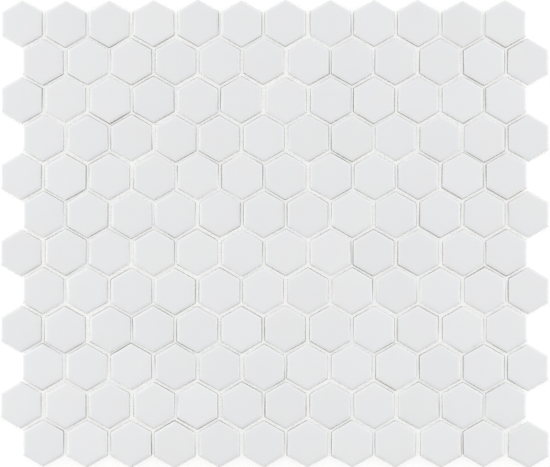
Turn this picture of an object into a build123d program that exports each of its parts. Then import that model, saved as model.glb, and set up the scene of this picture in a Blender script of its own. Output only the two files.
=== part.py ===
from build123d import *
from math import radians, sqrt, tan
import os

# A sheet of hexagonal porcelain mosaic, as it is bought: tiles with open joints, face up,
# on a glass-fibre net. Row 1 is the row furthest along +Y. Sizes are in millimetres.

# Layout of the sheet
tiles_per_row = 12
row_count = 12
joint_width = 1.6

# Tile: the width and the joint are measured at the back, where the tile is widest
tile_across_flats = 22.6
tile_thickness = 5.0
side_draft = 2.5
rim_reach = 1.8
rim_radius = 3.3

# Backing net
strand_pitch = 5.0
strand_width = 0.6
strand_thickness = 0.25
net_setback = 1.0

# From one tile to the next in a row, from one row to the next, and the shift between two rows
tile_pitch = tile_across_flats + joint_width
row_pitch = tile_pitch * sqrt(3) / 2
row_shift = tile_pitch / 2

# The wefts lie lowest, the warps cross over them, and the tiles are glued on the warps
warp_base = strand_thickness
tile_base = warp_base + strand_thickness

# Half widths of a tile: at its back, where its sides would meet the face, and of the flat of the face
back_apothem = tile_across_flats / 2
side_apothem = back_apothem - tile_thickness * tan(radians(side_draft))
flat_apothem = side_apothem - rim_reach

os.makedirs("parts", exist_ok=True)

# The hollow that the face is pressed in: a wider hexagon whose round edge leaves the soft rim
with BuildPart() as press_hollow:
    with BuildSketch(Plane.XY.offset(tile_base)):
        RegularPolygon(flat_apothem + rim_radius, 6, major_radius=False, rotation=30)
    extrude(amount=tile_thickness)
    fillet(press_hollow.edges().group_by(Axis.Z)[-1], radius=rim_radius)

# One tile: a corner points along +Y, and the sides lean in from the back to the face
with BuildPart() as tile:
    with BuildSketch(Plane.XY.offset(tile_base)):
        RegularPolygon(back_apothem, 6, major_radius=False, rotation=30)
    extrude(amount=tile_thickness, taper=side_draft)
    add(press_hollow.part, mode=Mode.INTERSECT)

# The rows are shifted to the left and to the right in turn
for row in range(row_count):
    row_x = row_shift / 2 if row % 2 else -row_shift / 2
    row_y = ((row_count - 1) / 2 - row) * row_pitch
    with BuildPart() as tile_row:
        with Locations((row_x, row_y)):
            with GridLocations(tile_pitch, 0, tiles_per_row, 1):
                add(tile.part)
    tile_row.part.label = f"tile_row_{row + 1:02d}"
    export_step(tile_row.part, f"parts/{tile_row.part.label}.step")

# The net is cut straight, inside the notches between the outer tiles
net_length = (tiles_per_row - 1) * tile_pitch + tile_across_flats - row_shift - 2 * net_setback
net_width = (row_count - 1) * row_pitch + tile_across_flats / sqrt(3) - 2 * net_setback
warp_count = int((net_length - strand_width) // strand_pitch) + 1
weft_count = int((net_width - strand_width) // strand_pitch) + 1

with BuildPart() as net_weft:
    with BuildSketch():
        with GridLocations(0, strand_pitch, 1, weft_count):
            Rectangle(net_length, strand_width)
    extrude(amount=strand_thickness)
net_weft.part.label = "net_weft"
export_step(net_weft.part, "parts/net_weft.step")

with BuildPart() as net_warp:
    with BuildSketch(Plane.XY.offset(warp_base)):
        with GridLocations(strand_pitch, 0, warp_count, 1):
            Rectangle(strand_width, net_width)
    extrude(amount=strand_thickness)
net_warp.part.label = "net_warp"
export_step(net_warp.part, "parts/net_warp.step")
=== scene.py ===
import math
import random

import bmesh
import bpy
from mathutils import Matrix, Vector, noise


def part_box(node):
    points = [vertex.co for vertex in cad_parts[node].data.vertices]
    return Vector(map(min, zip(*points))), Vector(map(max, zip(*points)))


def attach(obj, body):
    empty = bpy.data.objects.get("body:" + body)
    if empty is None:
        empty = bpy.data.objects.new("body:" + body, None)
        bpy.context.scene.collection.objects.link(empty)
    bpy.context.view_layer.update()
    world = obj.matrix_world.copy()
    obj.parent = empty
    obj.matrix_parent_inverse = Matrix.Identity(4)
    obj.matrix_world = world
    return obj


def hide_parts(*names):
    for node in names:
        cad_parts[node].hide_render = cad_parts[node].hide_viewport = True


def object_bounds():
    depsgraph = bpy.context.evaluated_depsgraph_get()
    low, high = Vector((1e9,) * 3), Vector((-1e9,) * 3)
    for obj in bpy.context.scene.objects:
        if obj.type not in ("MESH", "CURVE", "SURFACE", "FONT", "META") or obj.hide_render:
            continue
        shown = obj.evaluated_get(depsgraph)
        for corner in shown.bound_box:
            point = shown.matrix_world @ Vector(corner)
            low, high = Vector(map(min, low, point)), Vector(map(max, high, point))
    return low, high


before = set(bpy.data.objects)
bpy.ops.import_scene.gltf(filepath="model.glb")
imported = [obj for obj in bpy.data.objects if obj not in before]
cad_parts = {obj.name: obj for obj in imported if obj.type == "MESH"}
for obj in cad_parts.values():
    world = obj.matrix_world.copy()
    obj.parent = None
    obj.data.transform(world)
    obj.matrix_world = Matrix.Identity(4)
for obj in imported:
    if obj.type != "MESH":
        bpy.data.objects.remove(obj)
cadLow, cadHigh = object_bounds()
mm = 0.001
noiseSeed = 2
seedReach = 100  # how far apart two pieces can start in the noise
noise.seed_set(noiseSeed)  # the vector noise would start from the clock otherwise
print("frame loaded,", len(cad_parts), "nodes")

# the lattice of the tiles, read from the boxes of the rows; a corner of each hexagon points along Y
rowNodes = sorted(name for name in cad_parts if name.startswith("tile_row"))
rowBoxes = [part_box(node) for node in rowNodes]
firstLow, firstHigh = rowBoxes[0]
cornerReach = (firstHigh.y - firstLow.y) / 2
backHalfWidth = cornerReach * math.cos(math.radians(30))
rowPitch = firstLow.y - rowBoxes[1][0].y
tilePitch = rowPitch / math.cos(math.radians(30))
tilesPerRow = round((firstHigh.x - firstLow.x - 2 * backHalfWidth) / tilePitch) + 1
tileBase = firstLow.z
tileTop = firstHigh.z


def finishPiece(bm, name, materials):
    # one object at the origin, smooth shaded, its place in its mesh
    mesh = bpy.data.meshes.new(name)
    bm.to_mesh(mesh)
    bm.free()
    mesh.shade_smooth()
    for material in materials:
        mesh.materials.append(material)
    piece = bpy.data.objects.new(name, mesh)
    bpy.context.scene.collection.objects.link(piece)
    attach(piece, "root")
    return piece


# node helpers
def addNode(tree, kind, inputs=None, **settings):
    node = tree.nodes.new(kind)
    for key, value in settings.items():
        setattr(node, key, value)
    for key, value in (inputs or {}).items():
        if isinstance(value, bpy.types.NodeSocket):
            tree.links.new(value, node.inputs[key])
        else:
            node.inputs[key].default_value = value
    return node


def newGroup(name, inputs, outputs):
    group = bpy.data.node_groups.new(name, "ShaderNodeTree")
    for label, kind, value in inputs:
        socket = group.interface.new_socket(name=label, in_out="INPUT", socket_type=kind)
        if value is not None:
            socket.default_value = value
    for label, kind in outputs:
        group.interface.new_socket(name=label, in_out="OUTPUT", socket_type=kind)
    start = group.nodes.new("NodeGroupInput")
    end = group.nodes.new("NodeGroupOutput")
    return group, start, end


def placeGroup(tree, group, inputs):
    return addNode(tree, "ShaderNodeGroup", inputs, node_tree=group)


def mixColours(tree, share, first, second):
    # inputs 6 and 7 and output 2 are the colours of a Mix node
    mix = addNode(tree, "ShaderNodeMix", {0: share, 6: first, 7: second}, data_type="RGBA")
    return mix.outputs[2]


def newMaterial(name):
    material = bpy.data.materials.new(name)
    material.use_nodes = True
    tree = material.node_tree
    tree.nodes.clear()
    output = tree.nodes.new("ShaderNodeOutputMaterial")
    shader = tree.nodes.new("ShaderNodeBsdfPrincipled")
    tree.links.new(shader.outputs["BSDF"], output.inputs["Surface"])
    return material, tree, shader


# fine grain: height and mask of a noise whose size is given in millimetres
def makeGrainGroup():
    inputs = [
        ("Vector", "NodeSocketVector", None),
        ("Size", "NodeSocketFloat", 1.0),
        ("Detail", "NodeSocketFloat", 4.0),
        ("From", "NodeSocketFloat", 0.35),
        ("To", "NodeSocketFloat", 0.65),
    ]
    outputs = [("Height", "NodeSocketFloat"), ("Mask", "NodeSocketFloat")]
    group, start, end = newGroup("fineGrain", inputs, outputs)
    scale = addNode(group, "ShaderNodeMath", {0: 1 / mm, 1: start.outputs["Size"]}, operation="DIVIDE")
    grain = addNode(group, "ShaderNodeTexNoise", {
        "Vector": start.outputs["Vector"], "Scale": scale.outputs[0],
        "Detail": start.outputs["Detail"], "Roughness": 0.6})
    mask = addNode(group, "ShaderNodeMapRange", {
        "Value": grain.outputs["Fac"],
        "From Min": start.outputs["From"],
        "From Max": start.outputs["To"]})
    group.links.new(grain.outputs["Fac"], end.inputs["Height"])
    group.links.new(mask.outputs["Result"], end.inputs["Mask"])
    return group


# tone drift: a colour made a little lighter and darker, warmer and cooler over the surface, and shaded
def makeDriftGroup():
    inputs = [
        ("Color", "NodeSocketColor", None),
        ("Vector", "NodeSocketVector", None),
        ("Size", "NodeSocketFloat", 10.0),
        ("Amount", "NodeSocketFloat", 0.02),
        ("Shade", "NodeSocketFloat", 1.0),
    ]
    group, start, end = newGroup("toneDrift", inputs, [("Color", "NodeSocketColor")])
    scale = addNode(group, "ShaderNodeMath", {0: 1 / mm, 1: start.outputs["Size"]}, operation="DIVIDE")
    drift = addNode(group, "ShaderNodeTexNoise", {
        "Vector": start.outputs["Vector"], "Scale": scale.outputs[0], "Detail": 2.0})
    centred = addNode(group, "ShaderNodeVectorMath", {
        0: drift.outputs["Color"], 1: (0.5, 0.5, 0.5)}, operation="SUBTRACT")
    sized = addNode(group, "ShaderNodeVectorMath", {
        0: centred.outputs[0], "Scale": start.outputs["Amount"]}, operation="SCALE")
    lifted = addNode(group, "ShaderNodeVectorMath", {
        0: sized.outputs[0], 1: (1.0, 1.0, 1.0)}, operation="ADD")
    toned = addNode(group, "ShaderNodeVectorMath", {
        0: start.outputs["Color"], 1: lifted.outputs[0]}, operation="MULTIPLY")
    shaded = addNode(group, "ShaderNodeVectorMath", {
        0: toned.outputs[0], "Scale": start.outputs["Shade"]}, operation="SCALE")
    group.links.new(shaded.outputs[0], end.inputs["Color"])
    return group


fineGrain = makeGrainGroup()
toneDrift = makeDriftGroup()

porcelain = {
    "glazeColour": (0.799, 0.803, 0.812, 1),
    "bodyColour": (0.91, 0.9, 0.87, 1),
    "bodyDarkColour": (0.81, 0.795, 0.76, 1),
    "bodyPatch": 22.0,  # this and the other sizes here are those of noises, in millimetres
    "glazeRoughness": 0.4,
    "bodyRoughness": 0.8,
    "glazeLine": tileTop - 0.4 * mm,
    "glazeRun": 2.0 * mm,  # how far the glaze runs down the sides here and there
    "runSize": 14.0,
    "glazeWobble": 0.35 * mm,
    "wobbleSize": 2.5,
    "driftSize": 14.0,
    "driftAmount": 0.03,
    "peelSize": 1.6,
    "peelHeight": 0.012 * mm,
    "peelRoughness": 0.05,
    "grainSize": 0.22,
    "grainHeight": 0.05 * mm,
}


def makePorcelain():
    material, tree, shader = newMaterial("porcelain")
    place = addNode(tree, "ShaderNodeTexCoord").outputs["Object"]
    shade = addNode(tree, "ShaderNodeAttribute", attribute_name="tileShade")
    # glazed above an uneven line on the side, bare body below it
    height = addNode(tree, "ShaderNodeSeparateXYZ", {0: place})
    runs = placeGroup(tree, fineGrain, {"Vector": place, "Size": porcelain["runSize"], "Detail": 1.0})
    edge = placeGroup(tree, fineGrain, {"Vector": place, "Size": porcelain["wobbleSize"], "Detail": 3.0})
    sunk = addNode(tree, "ShaderNodeMath", {
        0: runs.outputs["Height"],
        1: porcelain["glazeRun"],
        2: height.outputs["Z"]}, operation="MULTIPLY_ADD")
    line = addNode(tree, "ShaderNodeMath", {
        0: edge.outputs["Height"],
        1: porcelain["glazeWobble"],
        2: sunk.outputs[0]}, operation="MULTIPLY_ADD")
    glazed = addNode(tree, "ShaderNodeMapRange", {
        "Value": line.outputs[0],
        "From Min": porcelain["glazeLine"],
        "From Max": porcelain["glazeLine"] + porcelain["glazeWobble"]})
    grain = placeGroup(tree, fineGrain, {"Vector": place, "Size": porcelain["grainSize"], "Detail": 5.0})
    peel = placeGroup(tree, fineGrain, {"Vector": place, "Size": porcelain["peelSize"], "Detail": 2.0})
    glaze = placeGroup(tree, toneDrift, {
        "Color": porcelain["glazeColour"], "Vector": place, "Size": porcelain["driftSize"],
        "Amount": porcelain["driftAmount"], "Shade": shade.outputs["Fac"]})
    patches = placeGroup(tree, fineGrain, {
        "Vector": place, "Size": porcelain["bodyPatch"], "Detail": 2.0})
    body = mixColours(
        tree, patches.outputs["Mask"], porcelain["bodyColour"], porcelain["bodyDarkColour"])
    colour = mixColours(tree, glazed.outputs["Result"], body, glaze.outputs["Color"])
    rough = addNode(tree, "ShaderNodeMapRange", {
        "Value": glazed.outputs["Result"],
        "To Min": porcelain["bodyRoughness"],
        "To Max": porcelain["glazeRoughness"]})
    roughVaried = addNode(tree, "ShaderNodeMath", {
        0: peel.outputs["Mask"],
        1: porcelain["peelRoughness"],
        2: rough.outputs["Result"]}, operation="MULTIPLY_ADD")
    bodyHeight = addNode(tree, "ShaderNodeMath", {
        0: grain.outputs["Height"], 1: porcelain["grainHeight"]}, operation="MULTIPLY")
    glazeHeight = addNode(tree, "ShaderNodeMath", {
        0: peel.outputs["Height"], 1: porcelain["peelHeight"]}, operation="MULTIPLY")
    relief = addNode(tree, "ShaderNodeMix", {
        "Factor": glazed.outputs["Result"], "A": bodyHeight.outputs[0], "B": glazeHeight.outputs[0]},
        data_type="FLOAT")
    bump = addNode(tree, "ShaderNodeBump", {"Height": relief.outputs["Result"], "Distance": 1.0})
    tree.links.new(colour, shader.inputs["Base Color"])
    tree.links.new(roughVaried.outputs[0], shader.inputs["Roughness"])
    tree.links.new(bump.outputs["Normal"], shader.inputs["Normal"])
    return material


tile = {
    "cornerRound": 0.7 * mm,
    "cornerSegments": 4,
    "sideCuts": 2,
    "sideRing": 0.8 * mm,  # how far the rings on the side stay from its two ends
    "sideDraft": math.radians(2.5),
    "rimReach": 1.8 * mm,
    "rimRadius": 3.3 * mm,
    "rimSteps": 6,
    "arrisEase": 0.15 * mm,
    "backEase": 0.3 * mm,
    "easeSegments": 3,
    "backInset": 0.5 * mm,
    "faceCrown": 0.1 * mm,
    "crownRings": (0.85, 0.65, 0.35),
    "crownPower": 4,
    "shift": 0.22 * mm,
    "turn": math.radians(0.25),
    "tilt": math.radians(0.8),
    "wave": 0.03 * mm,
    "backWave": 0.55 * mm,
    "waveSize": 20 * mm,
    "waveRise": 6,  # how much faster the waves change up the side than along it
    "shadeRange": 0.012,
}


def tileProfile():
    # half width and height of each ring, from the back up the side and over the rim to the middle
    thickness = tileTop - tileBase
    lean = math.tan(tile["sideDraft"])
    flatHalf = backHalfWidth - thickness * lean - tile["rimReach"]
    rimAngle = math.asin(tile["rimReach"] / tile["rimRadius"])
    shoulder = thickness - tile["faceCrown"]
    rings = []
    for step in range(tile["rimSteps"] + 1):
        angle = rimAngle * (1 - step / tile["rimSteps"])
        rings.append((flatHalf + tile["rimRadius"] * math.sin(angle),
                      shoulder - tile["rimRadius"] * (1 - math.cos(angle))))
    arrisHeight = rings[0][1]
    sideHeights = (tile["sideRing"], arrisHeight - tile["sideRing"])
    sides = [(backHalfWidth - height * lean, height) for height in sideHeights]
    crown = []
    for share in tile["crownRings"]:
        crown.append((flatHalf * share, thickness - tile["faceCrown"] * share ** tile["crownPower"]))
    return sides + rings + crown, arrisHeight


def liesLevel(edge, level):
    return all(abs(vert.co.z - level) < 1e-4 * mm for vert in edge.verts)


def makeTileMesh():
    rings, arrisHeight = tileProfile()
    bm = bmesh.new()
    bmesh.ops.create_circle(bm, cap_ends=True, segments=6, radius=cornerReach)
    cutBack = tile["cornerRound"] * math.tan(math.radians(30))
    bmesh.ops.bevel(
        bm, geom=bm.verts[:], offset=cutBack, offset_type="OFFSET",
        segments=tile["cornerSegments"], profile=0.5, affect="VERTICES", material=-1)
    longSides = [edge for edge in bm.edges if edge.calc_length() > cornerReach / 2]
    bmesh.ops.subdivide_edges(bm, edges=longSides, cuts=tile["sideCuts"])
    ring = bm.edges[:]
    half, height = backHalfWidth, 0.0
    for newHalf, newHeight in rings:
        made = bmesh.ops.extrude_edge_only(bm, edges=ring)["geom"]
        verts = [item for item in made if isinstance(item, bmesh.types.BMVert)]
        edges = [item for item in made if isinstance(item, bmesh.types.BMEdge)]
        ring = [edge for edge in edges if set(edge.verts) <= set(verts)]
        bmesh.ops.scale(bm, vec=(newHalf / half, newHalf / half, 1), verts=verts)
        bmesh.ops.translate(bm, vec=(0, 0, newHeight - height), verts=verts)
        half, height = newHalf, newHeight
    middle = bmesh.ops.contextual_create(bm, geom=ring)["faces"]
    bmesh.ops.poke(bm, faces=middle)
    for level, ease in ((0.0, tile["backEase"]), (arrisHeight, tile["arrisEase"])):
        edges = [edge for edge in bm.edges if liesLevel(edge, level)]
        bmesh.ops.bevel(
            bm, geom=edges, offset=ease, offset_type="OFFSET",
            segments=tile["easeSegments"], profile=0.5, affect="EDGES", material=-1)
    back = min(bm.faces, key=lambda item: item.calc_center_median().z)
    bmesh.ops.inset_region(bm, faces=[back], thickness=tile["backInset"], use_even_offset=True)
    bmesh.ops.recalc_face_normals(bm, faces=bm.faces[:])
    bmesh.ops.translate(bm, vec=(0, 0, tileBase), verts=bm.verts[:])
    mesh = bpy.data.meshes.new("tileForm")
    bm.to_mesh(mesh)
    openEdges = [edge for edge in bm.edges if len(edge.link_faces) != 2]
    print("tile form:", len(bm.faces), "faces,", len(openEdges), "open edges, volume",
          round(bm.calc_volume() / mm ** 3), "cubic mm")
    bm.free()
    return mesh


def spread(dice, size):
    # a chance amount of that standard deviation, never more than twice as much
    return max(-2 * size, min(2 * size, dice.gauss(0, size)))


def makeTileRow(node, tileMesh, material):
    # tiles laid side by side by machine, each a little off its place, turned and tilted
    low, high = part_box(node)
    dice = random.Random(node)
    bm = bmesh.new()
    shadeLayer = bm.verts.layers.float.new("tileShade")
    for column in range(tilesPerRow):
        before = len(bm.verts)
        bm.from_mesh(tileMesh)
        verts = bm.verts[before:]
        centre = Vector((low.x + backHalfWidth + column * tilePitch, (low.y + high.y) / 2, 0))
        shift = Vector((spread(dice, tile["shift"]), spread(dice, tile["shift"]), 0))
        turn = Matrix.Rotation(spread(dice, tile["turn"]), 4, "Z")
        tiltX = Matrix.Rotation(spread(dice, tile["tilt"]), 4, "X")
        tiltY = Matrix.Rotation(spread(dice, tile["tilt"]), 4, "Y")
        start = Vector((dice.random(), dice.random(), dice.random())) * seedReach
        for vert in verts:
            # the outline wanders a little at the face and more at the back, so the sides lean unevenly
            down = (tileTop - vert.co.z) / (tileTop - tileBase)
            raised = Vector((vert.co.x, vert.co.y, tile["waveRise"] * vert.co.z))
            sample = raised / tile["waveSize"] + start
            push = noise.noise_vector(sample)
            across = tile["wave"] + (tile["backWave"] - tile["wave"]) * down
            vert.co += Vector((push.x * across, push.y * across, push.z * tile["wave"]))
        placing = Matrix.Translation(centre + shift) @ turn @ tiltX @ tiltY
        bmesh.ops.transform(bm, matrix=placing, verts=verts)
        shade = 1 + dice.uniform(-1, 1) * tile["shadeRange"]
        for vert in verts:
            vert[shadeLayer] = shade
    piece = finishPiece(bm, "tiles" + node[-3:], [material])
    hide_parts(node)


porcelainMaterial = makePorcelain()
tileMesh = makeTileMesh()
for node in rowNodes:
    makeTileRow(node, tileMesh, porcelainMaterial)
bpy.data.meshes.remove(tileMesh)
print("tiles made:", len(rowNodes), "rows of", tilesPerRow)

netMiddle = tileBase / 2
yarn = {
    "bedded": {"colour": (0.86, 0.86, 0.84, 1), "roughness": 0.8, "clearness": 0.92, "ior": 1.1},
    "bare": {"colour": (0.97, 0.97, 0.96, 1), "roughness": 0.2, "clearness": 1.0, "ior": 1.02},
    "bareMargin": 1.2 * mm,  # how far under the tiles the bare, clear stretches reach
    "filamentSize": 0.12,  # this and the next size are those of noises, in millimetres
    "driftSize": 4.0,
    "driftAmount": 0.1,
    "filamentStretch": 0.06,  # scale of the filaments along the yarn, so they are long
    "filamentHeight": 0.04 * mm,
    "filamentRoughness": 0.15,
    "pitch": 5.0 * mm,
    "weftWidth": 0.5 * mm,
    "weftThickness": 0.2 * mm,
    "warpWidth": 0.24 * mm,
    "warpThickness": 0.15 * mm,
    "wander": 0.2 * mm,  # how far a weft strays to each side
    "wanderSize": 30 * mm,
    "twist": 0.15 * mm,  # how far the two yarns of a warp swing to each side
    "leastRise": 0.45,  # share of the height between the two yarns that stays where they pass each other
    "stepsPerPitch": 4,
    "sides": 6,
}


def makeYarnMaterial(name, along, finish):
    # filaments run along the yarn, so the grain is drawn out that way
    material, tree, shader = newMaterial(name)
    place = addNode(tree, "ShaderNodeTexCoord").outputs["Object"]
    stretch = [1.0, 1.0, 1.0]
    stretch[along] = yarn["filamentStretch"]
    drawn = addNode(tree, "ShaderNodeMapping", {"Vector": place, "Scale": stretch})
    filaments = placeGroup(tree, fineGrain, {
        "Vector": drawn.outputs["Vector"], "Size": yarn["filamentSize"], "Detail": 2.0})
    tone = placeGroup(tree, toneDrift, {
        "Color": finish["colour"], "Vector": place, "Size": yarn["driftSize"],
        "Amount": yarn["driftAmount"], "Shade": 1.0})
    height = addNode(tree, "ShaderNodeMath", {
        0: filaments.outputs["Height"], 1: yarn["filamentHeight"]}, operation="MULTIPLY")
    bump = addNode(tree, "ShaderNodeBump", {"Height": height.outputs[0], "Distance": 1.0})
    rough = addNode(tree, "ShaderNodeMath", {
        0: filaments.outputs["Mask"],
        1: yarn["filamentRoughness"],
        2: finish["roughness"]}, operation="MULTIPLY_ADD")
    tree.links.new(tone.outputs["Color"], shader.inputs["Base Color"])
    tree.links.new(rough.outputs[0], shader.inputs["Roughness"])
    tree.links.new(bump.outputs["Normal"], shader.inputs["Normal"])
    shader.inputs["Transmission Weight"].default_value = finish["clearness"]
    shader.inputs["IOR"].default_value = finish["ior"]
    return material


def makeYarnMaterials(name, along):
    # first the yarn that is bedded in glue under the tiles, then the bare yarn that bridges the joints
    return [makeYarnMaterial(name + kind.capitalize(), along, yarn[kind]) for kind in ("bedded", "bare")]


def bridgesJoint(point):
    # whether a point of the net lies under no tile, or under one by less than the margin
    row = (len(rowNodes) - 1) / 2 - point.y / rowPitch
    for near in (math.floor(row), math.ceil(row)):
        if not 0 <= near < len(rowNodes):
            continue
        low, high = rowBoxes[near]
        firstMiddle = low.x + backHalfWidth
        column = max(0, min(tilesPerRow - 1, round((point.x - firstMiddle) / tilePitch)))
        across = abs(point.x - firstMiddle - column * tilePitch)
        along = abs(point.y - (low.y + high.y) / 2)
        slanted = across * math.sin(math.radians(30)) + along * math.cos(math.radians(30))
        if max(across, slanted) < backHalfWidth - yarn["bareMargin"]:
            return False
    return True


def markBareStretches(bm):
    for face in bm.faces:
        face.material_index = int(bridgesJoint(face.calc_center_median()))


def makeYarnMesh(length, width, thickness, steps):
    # a flattened yarn along Y, cut square at both ends
    bm = bmesh.new()
    bmesh.ops.create_cone(
        bm, cap_ends=True, segments=yarn["sides"], radius1=width / 2, radius2=width / 2, depth=length,
        matrix=Matrix.Rotation(math.radians(90), 4, "X"))
    longEdges = [edge for edge in bm.edges if edge.calc_length() > length / 2]
    bmesh.ops.subdivide_edges(bm, edges=longEdges, cuts=steps - 1)
    bmesh.ops.scale(bm, vec=(1, 1, thickness / width), verts=bm.verts[:])
    mesh = bpy.data.meshes.new("yarnForm")
    bm.to_mesh(mesh)
    bm.free()
    return mesh


def makeWefts(materials):
    low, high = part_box("net_weft")
    count = round((high.y - low.y) / yarn["pitch"]) + 1
    length = high.x - low.x
    steps = round(length / yarn["pitch"]) * yarn["stepsPerPitch"]
    form = makeYarnMesh(length, yarn["weftWidth"], yarn["weftThickness"], steps)
    bm = bmesh.new()
    dice = random.Random("weft")
    middle = (count - 1) / 2
    for number in range(count):
        before = len(bm.verts)
        bm.from_mesh(form)
        verts = bm.verts[before:]
        start = dice.random() * seedReach
        for vert in verts:
            vert.co.x += noise.noise(Vector((vert.co.y / yarn["wanderSize"], start, 0))) * yarn["wander"]
        place = Vector((0, (number - middle) * yarn["pitch"], netMiddle))
        placing = Matrix.Translation(place) @ Matrix.Rotation(math.radians(90), 4, "Z")
        bmesh.ops.transform(bm, matrix=placing, verts=verts)
    markBareStretches(bm)
    piece = finishPiece(bm, "weftYarns", materials)
    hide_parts("net_weft")
    bpy.data.meshes.remove(form)


def makeWarps(name, side, materials):
    # one of the two yarns of each warp: it swings round its partner between every two wefts
    low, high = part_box("net_warp")
    count = round((high.x - low.x) / yarn["pitch"]) + 1
    length = high.y - low.y
    steps = round(length / yarn["pitch"]) * yarn["stepsPerPitch"]
    form = makeYarnMesh(length, yarn["warpWidth"], yarn["warpThickness"], steps)
    rise = (yarn["weftThickness"] + yarn["warpThickness"]) / 2
    bm = bmesh.new()
    middle = (count - 1) / 2
    for number in range(count):
        before = len(bm.verts)
        bm.from_mesh(form)
        verts = bm.verts[before:]
        for vert in verts:
            swing = math.cos(math.pi * vert.co.y / yarn["pitch"])
            vert.co.x += side * swing * yarn["twist"]
            vert.co.z += side * rise * (yarn["leastRise"] + (1 - yarn["leastRise"]) * swing ** 2)
        place = Vector(((number - middle) * yarn["pitch"], 0, netMiddle))
        bmesh.ops.translate(bm, vec=place, verts=verts)
    markBareStretches(bm)
    piece = finishPiece(bm, name, materials)
    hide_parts("net_warp")
    bpy.data.meshes.remove(form)


makeWefts(makeYarnMaterials("weftYarn", 0))
warpMaterials = makeYarnMaterials("warpYarn", 1)
makeWarps("warpYarnsUpper", 1, warpMaterials)
makeWarps("warpYarnsLower", -1, warpMaterials)
print("net made")

studio = {
    "imageWidth": 550,
    "imageHeight": 467,
    # the outer edges of the tiles' faces in the photograph, in pixels
    "sheetLeft": 0.8,
    "sheetRight": 548.8,
    "sheetTop": 0.45,
    "sheetBottom": 466.75,
    "cameraHeight": 4.5,
    "cameraBack": 0.05,  # how far the camera stands off the middle, towards the last row
    "skyStrength": 0.88,
    "skyRise": 1.2,  # how much brighter the sky is overhead than at the horizon
    "skyLean": 0.55,  # how much brighter it is behind the first row
    "stripDistance": 0.8,
    "stripLength": 0.9,
    "stripHeight": 0.16,
    "stripLift": 0.11,
    # the bearing of each strip in degrees and its brightness
    "strips": {"leftStrip": (180, 6.8), "rightStrip": (0, 5.5), "rearStrip": (90, 0.6)},
    "floorReach": 6.0,
    "floorColour": (0.9, 0.9, 0.9, 1),
    "floorGlow": 0.6,
    "glowStrength": 1.12,
}


def makeCamera():
    # high above the sheet and facing its middle; its outer edges lie where the photograph has them
    rimLean = (tileTop - tileBase) * math.tan(tile["sideDraft"])
    sheetWidth = cadHigh.x - cadLow.x - 2 * rimLean
    pixel = sheetWidth / (studio["sheetRight"] - studio["sheetLeft"])
    centreX = (studio["imageWidth"] - studio["sheetLeft"] - studio["sheetRight"]) / 2 * pixel
    centreY = -(studio["imageHeight"] - studio["sheetTop"] - studio["sheetBottom"]) / 2 * pixel
    data = bpy.data.cameras.new("camera")
    data.sensor_width = 36
    data.lens = data.sensor_width * studio["cameraHeight"] / (studio["imageWidth"] * pixel)
    camera = bpy.data.objects.new("camera", data)
    camera.location = (centreX, centreY - studio["cameraBack"], tileTop + studio["cameraHeight"])
    camera.rotation_euler.x = math.atan(studio["cameraBack"] / studio["cameraHeight"])
    bpy.context.scene.collection.objects.link(camera)
    bpy.context.scene.camera = camera


def makeStrips():
    # long low softboxes round the sheet: they light the rims more than the faces
    for name, (bearing, brightness) in studio["strips"].items():
        data = bpy.data.lights.new(name, "AREA")
        data.shape = "RECTANGLE"
        data.size = studio["stripLength"]
        data.size_y = studio["stripHeight"]
        # a lamp's power is its brightness times pi and its area
        data.energy = brightness * math.pi * studio["stripLength"] * studio["stripHeight"]
        light = bpy.data.objects.new(name, data)
        outward = Matrix.Rotation(math.radians(bearing), 3, "Z") @ Vector((1, 0, 0))
        light.location = outward * studio["stripDistance"] + Vector((0, 0, studio["stripLift"]))
        light.rotation_euler = (-outward).to_track_quat("-Z", "Y").to_euler()
        light.visible_camera = False
        bpy.context.scene.collection.objects.link(light)


def seenRays(tree):
    # 1 for rays that show the floor or sky: from the camera, or by way of a gloss or glass
    path = tree.nodes.new("ShaderNodeLightPath")
    some = addNode(tree, "ShaderNodeMath", {
        0: path.outputs["Is Camera Ray"], 1: path.outputs["Is Glossy Ray"]}, operation="MAXIMUM")
    return addNode(tree, "ShaderNodeMath", {
        0: some.outputs[0], 1: path.outputs["Is Transmission Ray"]}, operation="MAXIMUM").outputs[0]


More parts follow.
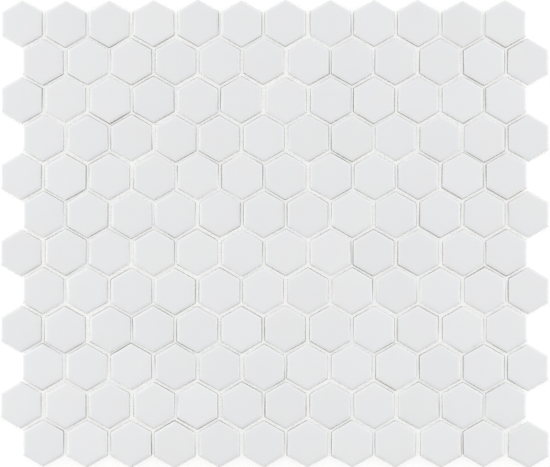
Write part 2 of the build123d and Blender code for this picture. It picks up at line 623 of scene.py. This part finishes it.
def makeSky():
    world = bpy.data.worlds.new("sky")
    bpy.context.scene.world = world
    world.use_nodes = True
    tree = world.node_tree
    tree.nodes.clear()
    direction = addNode(tree, "ShaderNodeTexCoord").outputs["Generated"]
    share = addNode(tree, "ShaderNodeVectorMath", {
        0: direction, 1: (0, studio["skyLean"], studio["skyRise"])}, operation="DOT_PRODUCT")
    # a level face gets as much light as from an even sky of skyStrength
    horizon = studio["skyStrength"] / (1 + studio["skyRise"] * 2 / 3)
    lit = addNode(tree, "ShaderNodeMath", {
        0: share.outputs["Value"], 1: horizon, 2: horizon}, operation="MULTIPLY_ADD")
    strength = addNode(tree, "ShaderNodeMapRange", {
        "Value": seenRays(tree), "To Min": lit.outputs[0], "To Max": 1.0})
    background = addNode(tree, "ShaderNodeBackground", {
        "Color": (1, 1, 1, 1), "Strength": strength.outputs["Result"]})
    output = tree.nodes.new("ShaderNodeOutputWorld")
    tree.links.new(background.outputs[0], output.inputs["Surface"])


def makeFloor():
    bm = bmesh.new()
    bmesh.ops.create_grid(bm, x_segments=1, y_segments=1, size=studio["floorReach"])
    mesh = bpy.data.meshes.new("floor")
    bm.to_mesh(mesh)
    bm.free()
    floor = bpy.data.objects.new("floor", mesh)
    bpy.context.scene.collection.objects.link(floor)
    material = bpy.data.materials.new("paleFloor")
    material.use_nodes = True
    tree = material.node_tree
    tree.nodes.clear()
    lit = addNode(tree, "ShaderNodeBsdfDiffuse", {"Color": studio["floorColour"]})
    white = addNode(tree, "ShaderNodeEmission", {
        "Color": (1, 1, 1, 1), "Strength": studio["glowStrength"]})
    share = addNode(tree, "ShaderNodeMath", {
        0: seenRays(tree), 1: studio["floorGlow"]}, operation="MULTIPLY")
    mixed = addNode(tree, "ShaderNodeMixShader", {
        0: share.outputs[0], 1: lit.outputs[0], 2: white.outputs[0]})
    output = tree.nodes.new("ShaderNodeOutputMaterial")
    tree.links.new(mixed.outputs[0], output.inputs["Surface"])
    mesh.materials.append(material)


makeCamera()
makeStrips()
makeSky()
makeFloor()
bpy.context.scene.view_settings.view_transform = "Standard"
print("studio made")
